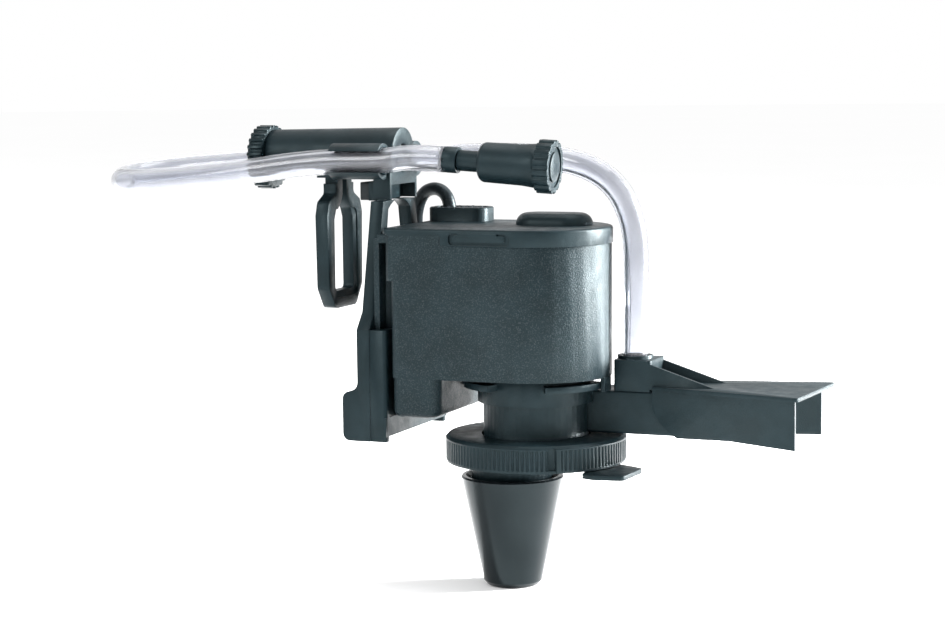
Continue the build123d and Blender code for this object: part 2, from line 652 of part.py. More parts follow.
with BuildPart() as impeller:
    # a sleeve through the magnet, a disc and straight vanes
    with BuildSketch(Plane.XY.offset(IMPELLER_BOTTOM)):
        with Locations((PUMP_X, 0)):
            Circle(2.98)
    extrude(amount=MAGNET_TOP - IMPELLER_BOTTOM)
    with BuildSketch(Plane.XY.offset(LID_Z - 50.6)):
        with Locations((PUMP_X, 0)):
            Circle(12.0)
    extrude(amount=1.2)
    with BuildSketch(Plane.XY.offset(IMPELLER_BOTTOM)):
        with Locations((PUMP_X, 0)):
            with PolarLocations(7.0, 6):
                Rectangle(10.0, 1.4)
    extrude(amount=LID_Z - 50.0 - IMPELLER_BOTTOM)
    with BuildSketch(Plane.XY.offset(IMPELLER_BOTTOM - 1)):
        with Locations((PUMP_X, 0)):
            Circle(SHAFT_R + 0.05)
    extrude(amount=60, mode=Mode.SUBTRACT)
save(impeller, "impeller")

# ---- pump casing: drum, neck, bayonet lugs and tangential outlet duct -------------------
CASING_TOP = HOUSING_BOTTOM - 0.2
FLANGE_TOP = LID_Z - 66.7
FLANGE_BOTTOM = LID_Z - 68.3
with BuildPart() as pump_casing:
    with BuildSketch(Plane.XY.offset(DRUM_BOTTOM)):
        with Locations((PUMP_X, 0)):
            Circle(DRUM_R)
    extrude(amount=CASING_TOP - DRUM_BOTTOM)
    with BuildSketch(Plane.XY.offset(FLANGE_BOTTOM)):
        with Locations((PUMP_X, 0)):
            Circle(NECK_R)
    extrude(amount=DRUM_BOTTOM - FLANGE_BOTTOM)
    with BuildSketch(Plane.XY.offset(FLANGE_BOTTOM)):
        with Locations((PUMP_X, 0)):
            Circle(20.0)
    extrude(amount=FLANGE_TOP - FLANGE_BOTTOM)
    # bayonet lugs
    with BuildSketch(Plane.XY.offset(LID_Z - 49.4)):
        with Locations((PUMP_X, 0)):
            add(sector(22.6, -62, 62, 17.0))
            add(sector(22.6, 212, 38, 17.0))
            add(sector(22.6, 118, 62, 17.0))
    extrude(amount=1.9)
    # outlet duct along the far side of the neck
    with BuildSketch(Plane.YZ.offset(PUMP_X)):
        with Locations(((DUCT_NEAR + DUCT_FAR) / 2, (DUCT_TOP + DUCT_BOTTOM) / 2)):
            RectangleRounded(DUCT_FAR - DUCT_NEAR, DUCT_TOP - DUCT_BOTTOM, 0.8)
    extrude(amount=DUCT_END - PUMP_X)
    # flow passage
    with BuildSketch(Plane.XY.offset(FLANGE_BOTTOM - 1)):
        with Locations((PUMP_X, 0)):
            Circle(CHAMBER_R)
    extrude(amount=CASING_TOP - FLANGE_BOTTOM + 2, mode=Mode.SUBTRACT)
    with BuildSketch(Plane.YZ.offset(PUMP_X)):
        with Locations(((DUCT_NEAR + DUCT_FAR) / 2, (DUCT_TOP + DUCT_BOTTOM) / 2)):
            Rectangle(DUCT_FAR - DUCT_NEAR - 3.2, DUCT_TOP - DUCT_BOTTOM - 3.0)
    extrude(amount=DUCT_END - PUMP_X + 1, mode=Mode.SUBTRACT)
    # air inlet through the duct's roof
    with BuildSketch(Plane.XY.offset(DUCT_TOP - 4)):
        with Locations((SOCKET_X, SOCKET_Y)):
            Circle(2.6)
    extrude(amount=6, mode=Mode.SUBTRACT)
    # groove for the seal
    with BuildSketch(Plane.XY.offset(CASING_TOP - 1.5)):
        with Locations((PUMP_X, 0)):
            Circle(17.1)
            Circle(15.4, mode=Mode.SUBTRACT)
    extrude(amount=2, mode=Mode.SUBTRACT)
save(pump_casing, "pump_casing")

with BuildPart() as casing_seal:
    with BuildSketch(Plane.XZ):
        with Locations((PUMP_X + 16.25, HOUSING_BOTTOM - 0.83)):
            Circle(0.8)
    revolve(axis=Axis((PUMP_X, 0, 0), (0, 0, 1)))
save(casing_seal, "casing_seal")

# ---- knurled locking ring -------------------------------------------------------------------
RING_NOTCH = -59.8
with BuildPart() as locking_ring:
    with BuildSketch(Plane.XY.offset(RING_BOTTOM + 0.7)):
        with Locations((PUMP_X, 0)):
            add(scalloped_disc(RING_R - 0.05, 0.32, RING_RIBS))
    extrude(amount=RING_TOP - 1.3 - RING_BOTTOM - 0.7)
    with BuildSketch(Plane.XY.offset(RING_BOTTOM)):
        with Locations((PUMP_X, 0)):
            Circle(RING_R - 0.25)
    extrude(amount=0.8)
    with BuildSketch(Plane.XY.offset(RING_TOP - 1.35)):
        with Locations((PUMP_X, 0)):
            Circle(RING_R)
    extrude(amount=1.35)
    chamfer(locking_ring.faces().sort_by(Axis.Z)[-1].edges(), 0.9)
    # index notch across the ribs, with a smooth bar beside it
    with BuildSketch(Plane.XY.offset(RING_BOTTOM + 0.9)):
        with Locations((PUMP_X, 0)):
            add(sector(RING_R + 1, RING_NOTCH - 2.2, 4.4, RING_R - 0.9))
    extrude(amount=RING_TOP - RING_BOTTOM - 1.6, mode=Mode.SUBTRACT)
    with BuildSketch(Plane.XY.offset(RING_BOTTOM + 0.3)):
        with Locations((PUMP_X, 0)):
            add(sector(RING_R - 0.02, RING_NOTCH + 3.0, 3.0, RING_R - 1.4))
    extrude(amount=RING_TOP - RING_BOTTOM - 1.0)
    # opening around the neck, and the pocket for the intake plate
    with BuildSketch(Plane.XY.offset(RING_BOTTOM - 1)):
        with Locations((PUMP_X, 0)):
            Circle(NECK_R + 0.6)
    extrude(amount=12, mode=Mode.SUBTRACT)
    with BuildSketch(Plane.XY.offset(RING_BOTTOM + 1.4)):
        with Locations((PUMP_X, 0)):
            Circle(25.6)
    extrude(amount=RING_TOP - 2.0 - RING_BOTTOM - 1.4, mode=Mode.SUBTRACT)
    with BuildSketch(Plane.XY.offset(RING_BOTTOM - 1)):
        with Locations((PUMP_X, 0)):
            Circle(24.2)
    extrude(amount=4, mode=Mode.SUBTRACT)
save(locking_ring, "locking_ring")

# ---- intake plate with its eccentric spigot ------------------------------------------------------
PLATE_TOP = LID_Z - 68.4
PLATE_STEP = LID_Z - 71.0
PLATE_BOTTOM = LID_Z - 72.6
BYPASS = (PUMP_X + 4.6, 0)
with BuildPart() as intake_plate:
    with BuildSketch(Plane.XY.offset(PLATE_STEP)):
        with Locations((PUMP_X, 0)):
            Circle(25.2)
    extrude(amount=PLATE_TOP - PLATE_STEP)
    with BuildSketch(Plane.XY.offset(PLATE_BOTTOM)):
        with Locations((PUMP_X, 0)):
            Circle(23.8)
    extrude(amount=PLATE_STEP - PLATE_BOTTOM)
    with BuildSketch(Plane.XY.offset(PLATE_TOP)):
        with Locations((PUMP_X, 0)):
            Circle(CHAMBER_R - 0.15)
    extrude(amount=6.0)
    with BuildSketch(Plane.XY.offset(SPIGOT_END)):
        with Locations((SPIGOT_X, 0)):
            Circle(SPIGOT_R)
    extrude(amount=PLATE_BOTTOM - SPIGOT_END)
    # intake passage: spigot bore, gallery and eye
    with BuildSketch(Plane.XY.offset(SPIGOT_END - 1)):
        with Locations((SPIGOT_X, 0)):
            Circle(SPIGOT_R - 1.6)
    extrude(amount=LID_Z - 69.8 - SPIGOT_END + 1, mode=Mode.SUBTRACT)
    with BuildSketch(Plane.XY.offset(LID_Z - 71.4)):
        with Locations((PUMP_X, 0)):
            Circle(6.6)
    extrude(amount=12, mode=Mode.SUBTRACT)
    with BuildSketch(Plane.XY.offset(PLATE_BOTTOM - 1)):
        with Locations(BYPASS):
            Circle(1.8)
    extrude(amount=4, mode=Mode.SUBTRACT)
    # three arms carry the lower bush
    with BuildSketch(Plane.XY.offset(LID_Z - 66.8)):
        with Locations((PUMP_X, 0)):
            Circle(3.2)
            with PolarLocations(4.6, 3, start_angle=60):
                Rectangle(5.0, 1.6)
    extrude(amount=3.0)
    with BuildSketch(Plane.XY.offset(LID_Z - 66.0)):
        with Locations((PUMP_X, 0)):
            Circle(2.2)
    extrude(amount=5, mode=Mode.SUBTRACT)
    with BuildSketch(Plane.XY.offset(LID_Z - 66.9)):
        with Locations((PUMP_X, 0)):
            Circle(SHAFT_R + 0.01)
    extrude(amount=2, mode=Mode.SUBTRACT)
save(intake_plate, "intake_plate")

with BuildPart() as lower_bush:
    with BuildSketch(Plane.XY.offset(LID_Z - 66.0)):
        with Locations((PUMP_X, 0)):
            Circle(2.18)
            Circle(SHAFT_R, mode=Mode.SUBTRACT)
    extrude(amount=2.8)
save(lower_bush, "lower_bush")

# ---- flow shutter with its thumb tab ---------------------------------------------------------------
SHUTTER_TOP = LID_Z - 73.0
TAB = (PUMP_X + 30.0, -9.5)
with BuildPart() as flow_shutter:
    with BuildSketch(Plane.XY.offset(SHUTTER_TOP - 1.4)):
        with Locations((SPIGOT_X, 0)):
            Circle(17.4)
        with BuildLine(mode=Mode.PRIVATE) as arm:
            Polyline(
                (SPIGOT_X, -7.5),
                (TAB[0] - 10.0, TAB[1] + 2.0),
                (TAB[0] - 8.0, TAB[1] - 10.0),
                (TAB[0] - 4.0, TAB[1] - 11.5),
                (TAB[0] + 5.0, TAB[1] - 10.0),
                (TAB[0] + 6.0, TAB[1] + 5.5),
                (TAB[0] + 1.0, TAB[1] + 8.5),
                (TAB[0] - 9.0, TAB[1] + 13.0),
                (SPIGOT_X, 6.0),
                close=True,
            )
        make_face(arm.edges())
        with Locations((SPIGOT_X, 0)):
            Circle(SPIGOT_R + 0.3, mode=Mode.SUBTRACT)
    extrude(amount=1.4)
    fillet(flow_shutter.edges().filter_by(Axis.Z).sort_by(Axis.X)[-4:], 2.0)
    with BuildSketch(Plane.XY.offset(SHUTTER_TOP - 9.2)):
        with Locations((SPIGOT_X, 0)):
            Circle(SPIGOT_R + 1.8)
            Circle(SPIGOT_R + 0.3, mode=Mode.SUBTRACT)
    extrude(amount=8)
    # port that meets the bypass hole when the shutter is turned
    with BuildSketch(Plane.XY.offset(SHUTTER_TOP - 2)):
        with Locations((SPIGOT_X, 0)):
            with Locations((12.6 * cos(radians(22)), 12.6 * sin(radians(22)))):
                Circle(1.4)
    extrude(amount=3, mode=Mode.SUBTRACT)
save(flow_shutter, "flow_shutter")

# ---- rubber cone adaptor --------------------------------------------------------------------------------
SOCKET_Z = SPIGOT_END + 8.0
with BuildPart() as cone_adaptor:
    with BuildSketch(Plane.XZ):
        with BuildLine():
            Polyline(
                (SPIGOT_X + 7.2, CONE_BOTTOM),
                (SPIGOT_X + CONE_BOTTOM_R - 0.9, CONE_BOTTOM),
                (SPIGOT_X + CONE_BOTTOM_R, CONE_BOTTOM + 1.1),
                (SPIGOT_X + CONE_TOP_R, CONE_TOP - 0.5),
                (SPIGOT_X + CONE_TOP_R - 0.4, CONE_TOP),
                (SPIGOT_X + CONE_TOP_R - 1.5, CONE_TOP),
                (SPIGOT_X + SPIGOT_R + 0.02, SOCKET_Z),
                (SPIGOT_X + SPIGOT_R + 0.02, SPIGOT_END - 0.02),
                (SPIGOT_X + 7.2, SPIGOT_END - 0.02),
                close=True,
            )
        make_face()
    revolve(axis=Axis((SPIGOT_X, 0, 0), (0, 0, 1)))
save(cone_adaptor, "cone_adaptor")

# ---- fan deflector with the air inlet on top of the duct ----------------------------------------------------
FAN_THICK = 1.2
FIN_THICK = 1.3
FIN_NEAR = DUCT_NEAR - 0.1 - FIN_THICK
FIN_FAR = DUCT_FAR + 0.1 + FIN_THICK
FIN_BOTTOM = LID_Z - 64.1
FIN_END = PUMP_X + 84.0
FIN_SPREAD = 8.5
BLOCK_START = PUMP_X + 24.6
BLOCK_END = PUMP_X + 36.6
with BuildPart() as outlet_deflector:
    # roof plate that widens towards its end
    with BuildSketch(Plane.XY.offset(FAN_TOP - FAN_THICK)):
        with BuildLine():
            Polyline(
                (FAN_START, FIN_NEAR),
                (FAN_END - 1.2, SOCKET_Y - 19.2),
                (FAN_END + 1.2, SOCKET_Y + 19.2),
                (FAN_START, FIN_FAR),
                close=True,
            )
        make_face()
    extrude(amount=FAN_THICK)
    fillet(outlet_deflector.edges().filter_by(Axis.Z).sort_by(Axis.X)[-2:], 1.4)
    # two fins: straight beside the duct, then flared
    for side, inner, outer in ((-1, DUCT_NEAR - 0.1, FIN_NEAR), (1, DUCT_FAR + 0.1, FIN_FAR)):
        with BuildSketch(Plane.XY.offset(FIN_BOTTOM - 0.6)):
            with BuildLine():
                Polyline(
                    (FAN_START, inner),
                    (FAN_BEND, inner),
                    (FIN_END, inner + side * FIN_SPREAD),
                    (FIN_END, outer + side * FIN_SPREAD),
                    (FAN_BEND, outer),
                    (FAN_START, outer),
                    close=True,
                )
            make_face()
        extrude(amount=FAN_TOP - FAN_THICK - FIN_BOTTOM + 0.6)
    # the fins' leading edges are scooped away, and their lower edges slope
    with BuildSketch(Plane.XZ.offset(30)):
        with BuildLine():
            ThreePointArc(
                (FAN_START, FAN_TOP - 6.5),
                (FAN_START + 3.0, FAN_TOP - 11.6),
                (FAN_START + 8.0, FIN_BOTTOM),
            )
            Line((FAN_START + 8.0, FIN_BOTTOM), (FAN_BEND, FIN_BOTTOM))
            Line((FAN_BEND, FIN_BOTTOM), (FIN_END + 5, FIN_BOTTOM - 0.6))
            Line((FIN_END + 5, FIN_BOTTOM - 0.6), (FIN_END + 5, FIN_BOTTOM - 9))
            Line((FIN_END + 5, FIN_BOTTOM - 9), (FAN_START - 5, FIN_BOTTOM - 9))
            Line((FAN_START - 5, FIN_BOTTOM - 9), (FAN_START - 5, FAN_TOP - 6.5))
            Line((FAN_START - 5, FAN_TOP - 6.5), (FAN_START, FAN_TOP - 6.5))
        make_face()
    extrude(amount=-70, mode=Mode.SUBTRACT)
    # block over the duct, with the hose socket on top
    with BuildSketch(Plane.XY.offset(DUCT_TOP + 0.02)):
        with Locations(((BLOCK_START + BLOCK_END) / 2, SOCKET_Y)):
            RectangleRounded(BLOCK_END - BLOCK_START, DUCT_FAR - DUCT_NEAR, 1.0)
    extrude(amount=SOCKET_TOP - 1.0 - DUCT_TOP)
    with BuildSketch(Plane.XY.offset(DUCT_TOP + 2)):
        with Locations((SOCKET_X, SOCKET_Y)):
            Circle(HOSE_R + 1.5)
    extrude(amount=SOCKET_TOP - DUCT_TOP - 2)
    # gusset ribs from the block down to the roof plate
    for rib_y in (DUCT_NEAR + 1.2, DUCT_FAR - 0.1):
        with BuildSketch(Plane.XZ.offset(-rib_y)):
            with BuildLine():
                Polyline(
                    (BLOCK_START + 4, DUCT_TOP + 0.8),
                    (BLOCK_START + 4, SOCKET_TOP - 0.6),
                    (BLOCK_END - 3, SOCKET_TOP - 1.2),
                    (PUMP_X + 57.5, FAN_TOP - 0.3),
                    (PUMP_X + 57.5, FAN_TOP - FAN_THICK + 0.1),
                    (BLOCK_END, FAN_TOP - FAN_THICK + 0.1),
                    (BLOCK_END, DUCT_TOP + 0.8),
                    close=True,
                )
            make_face()
        extrude(amount=1.2)
    # hose socket bore, air nozzle bore
    with BuildSketch(Plane.XY.offset(SOCKET_TOP - 6.0)):
        with Locations((SOCKET_X, SOCKET_Y)):
            Circle(HOSE_R + 0.15)
    extrude(amount=8, mode=Mode.SUBTRACT)
    with BuildSketch(Plane.XY.offset(DUCT_TOP - 1)):
        with Locations((SOCKET_X, SOCKET_Y)):
            Circle(1.2)
    extrude(amount=8, mode=Mode.SUBTRACT)
save(outlet_deflector, "outlet_deflector")

# ---- air valve on the hose's open end --------------------------------------------------------------------------
VALVE_START = (30.6, -12.4, HOSE_Z + 0.8)
VALVE_DROOP = radians(3.6)
VALVE_YAW = radians(2.5)
VALVE_AXIS = (cos(VALVE_DROOP) * cos(VALVE_YAW), cos(VALVE_DROOP) * sin(VALVE_YAW), -sin(VALVE_DROOP))
VALVE = Plane(origin=VALVE_START, x_dir=(-sin(VALVE_YAW), cos(VALVE_YAW), 0), z_dir=VALVE_AXIS)
COLLAR_LENGTH = 4.4
NECK_END = 11.6
BODY_END = 30.2
VALVE_KNOB_LENGTH = 4.8
with BuildPart() as valve_collar:
    with BuildSketch(VALVE):
        Circle(HOSE_R)
        with PolarLocations(HOSE_R + 0.3, 8):
            Circle(0.7, mode=Mode.SUBTRACT)
    extrude(amount=COLLAR_LENGTH)
    with BuildSketch(VALVE.offset(0.8)):
        Circle(HOSE_R)
        Circle(3.0, mode=Mode.SUBTRACT)
    extrude(amount=COLLAR_LENGTH - 0.8)
    with BuildSketch(VALVE.offset(-1)):
        Circle(2.52)
    extrude(amount=COLLAR_LENGTH + 2, mode=Mode.SUBTRACT)
save(valve_collar, "valve_collar")

with BuildPart() as valve_body:
    with BuildSketch(Plane(origin=VALVE_START, x_dir=VALVE_AXIS, z_dir=VALVE.x_dir)):
        with BuildLine():
            Polyline(
                (0.2, 0),
                (0.2, 2.5),
                (COLLAR_LENGTH + 0.1, 2.5),
                (COLLAR_LENGTH + 0.1, 3.2),
                (NECK_END, 3.2),
            )
            Line((NECK_END, 3.2), (NECK_END, 4.2))
            ThreePointArc((NECK_END, 4.2), (NECK_END + 0.6, 5.6), (NECK_END + 2.1, 6.1))
            Polyline((NECK_END + 2.1, 6.1), (BODY_END - 5, 6.3), (BODY_END, 6.8), (BODY_END, 0), (0.2, 0))
        make_face()
    revolve(axis=Axis(VALVE_START, VALVE_AXIS))
    # air passage, and the pocket for the needle
    with BuildSketch(VALVE):
        Circle(1.3)
    extrude(amount=20, mode=Mode.SUBTRACT)
    with BuildSketch(VALVE.offset(NECK_END + 4)):
        Circle(3.4)
    extrude(amount=30, mode=Mode.SUBTRACT)
save(valve_body, "valve_body")

with BuildPart() as valve_knob:
    with BuildSketch(VALVE.offset(BODY_END + 0.3)):
        add(scalloped_disc(8.15, 0.55, 16))
    extrude(amount=VALVE_KNOB_LENGTH)
    fillet(valve_knob.faces().sort_by(Axis(VALVE_START, VALVE_AXIS))[-1].edges(), 0.3)
    with BuildSketch(VALVE.offset(BODY_END + 0.3 + VALVE_KNOB_LENGTH - 0.6)):
        Circle(6.2)
        Circle(4.6, mode=Mode.SUBTRACT)
    extrude(amount=1, mode=Mode.SUBTRACT)
    with BuildSketch(VALVE.offset(BODY_END - 1)):
        Circle(1.6)
    extrude(amount=VALVE_KNOB_LENGTH, mode=Mode.SUBTRACT)
save(valve_knob, "valve_knob")

with BuildPart() as valve_needle:
    with BuildSketch(VALVE.offset(NECK_END + 8)):
        Circle(1.58)
    extrude(amount=BODY_END - NECK_END - 5.2)
    with BuildSketch(VALVE.offset(NECK_END + 9)):
        Circle(3.0)
    extrude(amount=4.4)
    with BuildSketch(VALVE.offset(NECK_END + 10.4)):
        Circle(4.0)
        Circle(2.2, mode=Mode.SUBTRACT)
    extrude(amount=1.4, mode=Mode.SUBTRACT)
save(valve_needle, "valve_needle")

with BuildPart() as valve_seal:
    with BuildSketch(Plane(origin=VALVE_START, x_dir=VALVE_AXIS, z_dir=VALVE.x_dir)):
        with Locations((NECK_END + 11.1, 2.78)):
            Circle(0.56)
    revolve(axis=Axis(VALVE_START, VALVE_AXIS))
save(valve_seal, "valve_seal")

# ---- air hose: from the socket up over the pump, through both clips, to the valve ---------------------------------
HOSE_LEAD = 12.0
HOSE_ROUTE = [
    (SOCKET_X, SOCKET_Y, SOCKET_TOP - 5.9),
    (SOCKET_X + 0.3, SOCKET_Y, LID_Z - 24.0),
    (SOCKET_X + 0.1, SOCKET_Y + 0.5, LID_Z + 2.6),
    (SOCKET_X - 11.4, SOCKET_Y + 2.0, LID_Z + 17.4),
    (SOCKET_X - 36.0, SOCKET_Y + 3.2, HOSE_Z + 1.6),
    (14.0, HOSE_Y, HOSE_Z),
    (-12.0, HOSE_Y, HOSE_Z),
    (-40.0, HOSE_Y + 2.6, HOSE_Z - 1.2),
    (-78.0, HOSE_Y + 0.4, HOSE_Z - 4.0),
    (-88.3, 5.4, 0.8),
    (-88.3, -5.6, -0.6),
    (-80.0, -HOSE_Y + 0.2, -1.0),
    (-46.0, -HOSE_Y - 1.8, 1.6),
    (-13.0, -HOSE_Y, HOSE_Z),
    (10.0, -HOSE_Y, HOSE_Z),
    tuple(VALVE_START[i] - HOSE_LEAD * VALVE_AXIS[i] for i in range(3)),
    VALVE_START,
]
hose_radii = round_radii(HOSE_ROUTE)
print("hose radii", [round(r, 1) for r in hose_radii])
with BuildPart() as air_hose:
    with BuildLine() as hose_line:
        FilletPolyline(*HOSE_ROUTE, radius=hose_radii)
    with BuildSketch(Plane(origin=HOSE_ROUTE[0], z_dir=Vector(*HOSE_ROUTE[1]) - Vector(*HOSE_ROUTE[0]))):
        Circle(HOSE_R)
    sweep(path=hose_line.wires()[0])
hose_length = route_length(HOSE_ROUTE, hose_radii)
print("hose length", round(hose_length, 1), "volume ratio",
      round(air_hose.part.volume / (pi * HOSE_R**2 * hose_length), 4))
save(air_hose, "air_hose")

# ---- mains cable, its tied coil, the tail and the plug -------------------------------------------------------
def cable_tube(route):
    """A round tube of the cable's radius along a route, and its two measures."""
    radii = round_radii(route)
    with BuildPart() as tube:
        with BuildLine() as line:
            FilletPolyline(*route, radius=radii)
        with BuildSketch(Plane(origin=route[0], z_dir=Vector(*route[1]) - Vector(*route[0]))):
            Circle(CABLE_R)
        sweep(path=line.wires()[0])
    length = route_length(route, radii)
    print("cable radii", [round(r, 1) for r in radii], "length", round(length, 1),
          "volume ratio", round(tube.part.volume / (pi * CABLE_R**2 * length), 4))
    return tube


CABLE_ROUTE = [
    (CABLE_EXIT[0], CABLE_EXIT[1], LID_Z + 2.0),
    (CABLE_EXIT[0], CABLE_EXIT[1], LID_Z + 6.8),
    (CABLE_EXIT[0] - 5.0, CABLE_EXIT[1] + 2.0, LID_Z + 10.4),
    (CABLE_EXIT[0] - 11.6, CABLE_EXIT[1] + 4.6, LID_Z + 8.6),
    (CABLE_EXIT[0] - 15.2, CABLE_EXIT[1] + 7.0, LID_Z + 1.0),
    (COIL_X - COIL_OUTER + CABLE_R - 0.6, COIL_NEAR + 0.6, LID_Z - 6.0),
    (COIL_X - COIL_OUTER + CABLE_R, COIL_NEAR + CABLE_R, COIL_Z + 14.2),
]
mains_cable = cable_tube(CABLE_ROUTE)
save(mains_cable, "mains_cable")

with BuildPart() as cable_coil:
    with BuildSketch(Plane.XY.offset(COIL_Z)):
        with Locations((COIL_X + (COIL_INNER + COIL_OUTER) / 2, (COIL_NEAR + COIL_FAR) / 2)):
            RectangleRounded(COIL_OUTER - COIL_INNER, COIL_FAR - COIL_NEAR, 1.8)
    revolve(axis=Axis((COIL_X, 0, COIL_Z), (0, 1, 0)))
save(cable_coil, "cable_coil")

with BuildPart() as cable_tie:
    # a band around the turns on the outlet side of the coil
    with BuildSketch(Plane.XY.offset(COIL_Z - 2.0)):
        with Locations((COIL_X + (COIL_INNER + COIL_OUTER) / 2, (COIL_NEAR + COIL_FAR) / 2)):
            RectangleRounded(COIL_OUTER - COIL_INNER + 3.0, COIL_FAR - COIL_NEAR + 2.2, 2.0)
            RectangleRounded(COIL_OUTER - COIL_INNER + 0.6, COIL_FAR - COIL_NEAR + 0.2, 1.6, mode=Mode.SUBTRACT)
    extrude(amount=4.0)
save(cable_tie, "cable_tie")

TAIL_ROUTE = [
    (COIL_X - 14.0, COIL_FAR + 2.4, COIL_Z - 18.0),
    (COIL_X + 1.0, COIL_FAR + 2.6, COIL_Z - 24.6),
    (COIL_X + 17.0, COIL_FAR + 4.2, COIL_Z - 25.4),
    (COIL_X + 28.0, COIL_FAR + 5.6, COIL_Z - 15.0),
    (COIL_X + 28.2, COIL_FAR + 7.0, COIL_Z + 0.4),
    (COIL_X + 18.0, PLUG_Y, PLUG_Z),
    (PLUG_X, PLUG_Y, PLUG_Z),
]
cable_tail = cable_tube(TAIL_ROUTE)
save(cable_tail, "cable_tail")

PLUG_BODY = 18.0
PLUG_NOSE = 12.0
with BuildPart() as mains_plug:
    # moulded body with a tapered nose around the cable
    with BuildSketch(Plane.YZ.offset(PLUG_X - PLUG_NOSE - PLUG_BODY)):
        with Locations((PLUG_Y, PLUG_Z)):
            RectangleRounded(14.0, 24.0, 4.0)
    extrude(amount=PLUG_BODY)
    with BuildSketch(Plane.YZ.offset(PLUG_X - PLUG_NOSE)):
        with Locations((PLUG_Y, PLUG_Z)):
            RectangleRounded(12.0, 18.0, 4.0)
    with BuildSketch(Plane.YZ.offset(PLUG_X)):
        with Locations((PLUG_Y, PLUG_Z)):
            RectangleRounded(7.0, 7.4, 3.0)
    loft()
save(mains_plug, "mains_plug")

for label, rise in (("plug_pin_top", 6.35), ("plug_pin_bottom", -6.35)):
    with BuildPart() as plug_pin:
        with BuildSketch(Plane.YZ.offset(PLUG_X - PLUG_NOSE - PLUG_BODY - 16.0)):
            with Locations((PLUG_Y, PLUG_Z + rise)):
                Rectangle(6.3, 1.5)
        extrude(amount=16.0)
        chamfer(plug_pin.faces().sort_by(Axis.X)[0].edges().filter_by(Axis.Z), 1.2)
    save(plug_pin, label)
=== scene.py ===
"""Hang-on aquarium powerhead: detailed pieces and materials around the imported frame."""
from math import copysign, cos, pi, radians, sin

import bmesh
import bpy
from mathutils import Matrix, Vector


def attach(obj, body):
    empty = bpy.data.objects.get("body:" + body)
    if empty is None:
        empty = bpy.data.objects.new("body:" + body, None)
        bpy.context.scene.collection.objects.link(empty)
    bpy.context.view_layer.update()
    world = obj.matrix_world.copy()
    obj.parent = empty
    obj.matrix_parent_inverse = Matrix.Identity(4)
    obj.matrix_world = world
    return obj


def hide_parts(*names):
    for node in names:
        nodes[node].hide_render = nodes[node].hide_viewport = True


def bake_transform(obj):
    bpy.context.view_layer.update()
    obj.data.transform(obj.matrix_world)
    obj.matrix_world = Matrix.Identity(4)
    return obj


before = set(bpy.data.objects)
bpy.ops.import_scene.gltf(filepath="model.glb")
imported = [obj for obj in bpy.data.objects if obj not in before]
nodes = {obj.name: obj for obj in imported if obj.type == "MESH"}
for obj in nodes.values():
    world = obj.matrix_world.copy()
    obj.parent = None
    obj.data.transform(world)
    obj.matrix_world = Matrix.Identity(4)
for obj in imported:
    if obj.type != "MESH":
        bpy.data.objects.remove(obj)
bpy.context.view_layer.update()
scene = bpy.context.scene
MM = 0.001

# ---- places shared with the frame, in millimetres ----------------------------
PUMP_X = 55.0
LID_Z = -13.4
CABLE_RADIUS = 2.1
HOSE_RADIUS = 4.0


def mm(x, y, z):
    """A point given in millimetres, as a vector in metres."""
    return Vector((x * MM, y * MM, z * MM))


def mesh_piece(name, mesh, material):
    """A smooth-shaded object of one material made from a bmesh, which is then freed."""
    data = bpy.data.meshes.new(name)
    mesh.to_mesh(data)
    mesh.free()
    for face in data.polygons:
        face.use_smooth = True
    data.materials.append(material)
    piece = bpy.data.objects.new(name, data)
    scene.collection.objects.link(piece)
    return piece


# ---- camera ------------------------------------------------------------------
CAM_RIGHT = Vector((0.9258, 0.3780, -0.0096))
CAM_UP = Vector((-0.0319, 0.1033, 0.9941))
CAM_FORWARD = Vector((-0.3767, 0.9200, -0.1077))
CAM_PLACE = (301.5, -653.2, 34.6)
CAM_LENS = 86.55
CAM_SENSOR = 36.0
CAM_CLIP = (0.05, 30.0)
camera_data = bpy.data.cameras.new("camera")
camera_data.lens = CAM_LENS
camera_data.sensor_width = CAM_SENSOR
camera_data.clip_start, camera_data.clip_end = CAM_CLIP
camera = bpy.data.objects.new("camera", camera_data)
scene.collection.objects.link(camera)
axes = Matrix((CAM_RIGHT, CAM_UP, -CAM_FORWARD)).transposed().to_4x4()
camera.matrix_world = Matrix.Translation(mm(*CAM_PLACE)) @ axes
scene.camera = camera


# ---- materials ---------------------------------------------------------------
def new_material(name):
    """A plain node material, its tree, its Principled shader and object-space coordinates."""
    material = bpy.data.materials.new(name)
    material.use_nodes = True
    tree = material.node_tree
    shader = tree.nodes["Principled BSDF"]
    place = tree.nodes.new("ShaderNodeTexCoord")
    return material, tree, shader, place.outputs["Object"]


def noise(tree, where, scale, detail=3.0, rough=0.55):
    """A noise texture at a scale given in features per metre."""
    texture = tree.nodes.new("ShaderNodeTexNoise")
    texture.inputs["Scale"].default_value = scale
    texture.inputs["Detail"].default_value = detail
    texture.inputs["Roughness"].default_value = rough
    tree.links.new(where, texture.inputs["Vector"])
    return texture.outputs["Fac"]


def ramp(tree, value, low, high, start=0.35, end=0.65):
    """Maps a 0 to 1 value to a blend between two colours or greys."""
    node = tree.nodes.new("ShaderNodeValToRGB")
    node.color_ramp.elements[0].position = start
    node.color_ramp.elements[1].position = end
    node.color_ramp.elements[0].color = low
    node.color_ramp.elements[1].color = high
    tree.links.new(value, node.inputs["Fac"])
    return node.outputs["Color"]


def rgb(red, green, blue):
    """An opaque colour."""
    return (red, green, blue, 1.0)


def grey(value):
    """An opaque grey, also used for a plain number in a ramp."""
    return rgb(value, value, value)


def bump(tree, height, strength, depth):
    """A bump node of a depth in millimetres."""
    node = tree.nodes.new("ShaderNodeBump")
    node.inputs["Strength"].default_value = strength
    node.inputs["Distance"].default_value = depth * MM
    tree.links.new(height, node.inputs["Height"])
    return node.outputs["Normal"]


